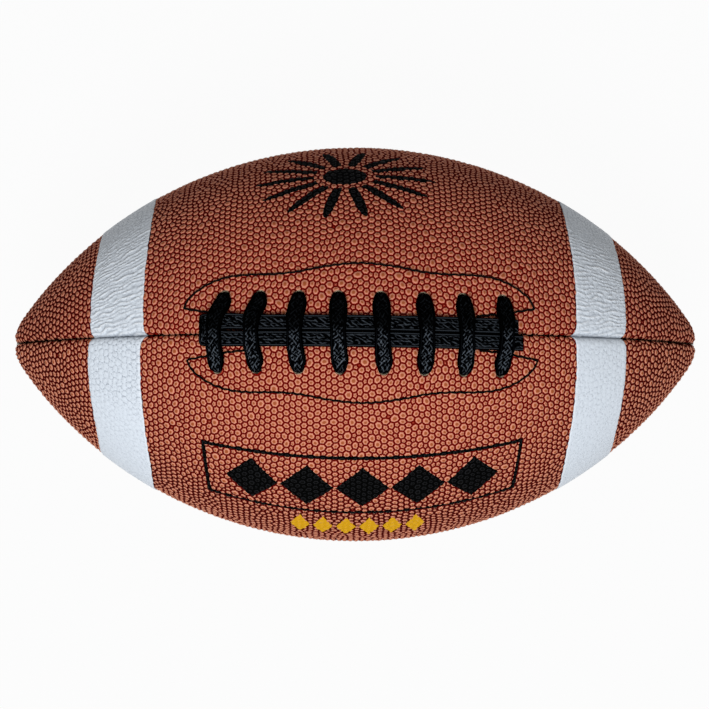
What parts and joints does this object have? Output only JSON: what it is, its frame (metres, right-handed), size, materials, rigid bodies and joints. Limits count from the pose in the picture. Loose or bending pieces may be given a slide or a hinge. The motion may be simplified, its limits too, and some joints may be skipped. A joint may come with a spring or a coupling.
{
  "type": "american football",
  "caption": "American football with sewn pebbled cover panels, white stripes, a laced slit, lining, bladder and needle valve.",
  "frame": {"origin": "centre of the ball", "axes": "+X along the ball, nose to nose; +Z out through the lacing; +Y across, towards the panel whose base neighbour holds the valve"},
  "size_m": [0.2612, 0.1504, 0.1543],
  "materials": {
    "cover": "pebbled composite leather, semi-matte",
    "stripe_film": "white coated film over the pebbled cover",
    "lace_strap": "black composite leather strap with a fine crackled grain",
    "lining_cloth": "laminated woven cotton",
    "facing_cloth": "stiff laminated canvas",
    "guard_cloth": "rubberised cloth",
    "black_thread": "waxed polyester thread",
    "seam_thread": "waxed polyester thread",
    "bladder_rubber": "butyl rubber",
    "patch_rubber": "butyl rubber",
    "valve_rubber": "moulded butyl rubber",
    "core_rubber": "moulded soft rubber"
  },
  "bodies": {
    "root": {"cover_lace_front": "cover", "cover_lace_back": "cover", "cover_base_front": "cover", "cover_base_back": "cover", "lining_lace_front": "lining_cloth", "lining_lace_back": "lining_cloth", "lining_base_front": "lining_cloth", "lining_base_back": "lining_cloth", "stripe_left_front": "stripe_film", "stripe_left_back": "stripe_film", "stripe_right_front": "stripe_film", "stripe_right_back": "stripe_film", "lace": "lace_strap", "facing_front": "facing_cloth", "facing_back": "facing_cloth", "facing_thread_front": "black_thread", "facing_thread_back": "black_thread", "lace_guard": "guard_cloth", "seam_thread_front": "seam_thread", "seam_thread_back": "seam_thread", "seam_thread_base": "seam_thread", "seam_thread_top_left": "seam_thread", "seam_thread_top_right": "seam_thread", "bladder": "bladder_rubber", "valve_housing": "valve_rubber", "valve_core": "core_rubber", "valve_patch": "patch_rubber"}
  },
  "joints": []
}
